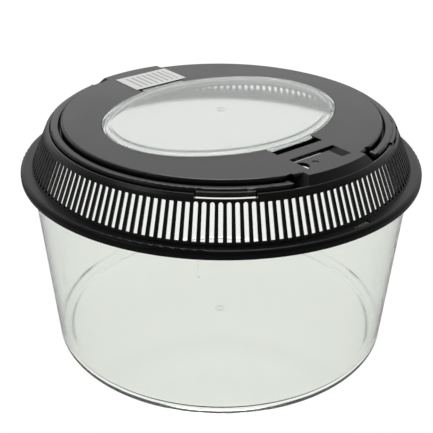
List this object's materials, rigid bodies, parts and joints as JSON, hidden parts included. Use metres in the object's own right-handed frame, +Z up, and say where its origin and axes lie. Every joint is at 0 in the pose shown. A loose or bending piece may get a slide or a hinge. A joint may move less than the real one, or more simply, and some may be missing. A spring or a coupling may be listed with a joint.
{
  "type": "cricket keeper box",
  "caption": "Round clear tub with a slotted black vent lid, two fold-down half-ring carry handles and a clear oval lift-out window in the top.",
  "frame": {"origin": "centre of the tub's foot, on the surface it stands on", "axes": "+Z up along the tub's axis, Y through the two hinge blocks with the front block at -Y, X across the long side of the window"},
  "size_m": [0.24, 0.24, 0.1437],
  "materials": {
    "clear_plastic": "clear, glossy",
    "window_plastic": "clear, glossy",
    "black_plastic": "fine satin",
    "label_face": "smooth coated paper"
  },
  "bodies": {
    "tub": {"tub": "clear_plastic"},
    "lid": {"lid_rim": "black_plastic", "vent_grille": "black_plastic", "lid_top": "black_plastic", "label": "label_face"},
    "handle_left": {"handle_left": "black_plastic"},
    "handle_right": {"handle_right": "black_plastic"},
    "window": {"window": "window_plastic"}
  },
  "joints": [
    {"name": "lid_lift", "type": "slide", "parent": "tub", "child": "lid", "axis": [0, 0, 1], "range_m": [0, 0.04]},
    {"name": "handle_left_swing", "type": "hinge", "parent": "lid", "child": "handle_left", "pos_m": [-0.031, 0, 0.1375], "axis": [0, 1, 0], "range_deg": [0, 112]},
    {"name": "handle_right_swing", "type": "hinge", "parent": "lid", "child": "handle_right", "pos_m": [0.031, 0, 0.1375], "axis": [0, -1, 0], "range_deg": [0, 112]},
    {"name": "window_lift", "type": "slide", "parent": "lid", "child": "window", "axis": [0, 0, 1], "range_m": [0, 0.025]}
  ]
}
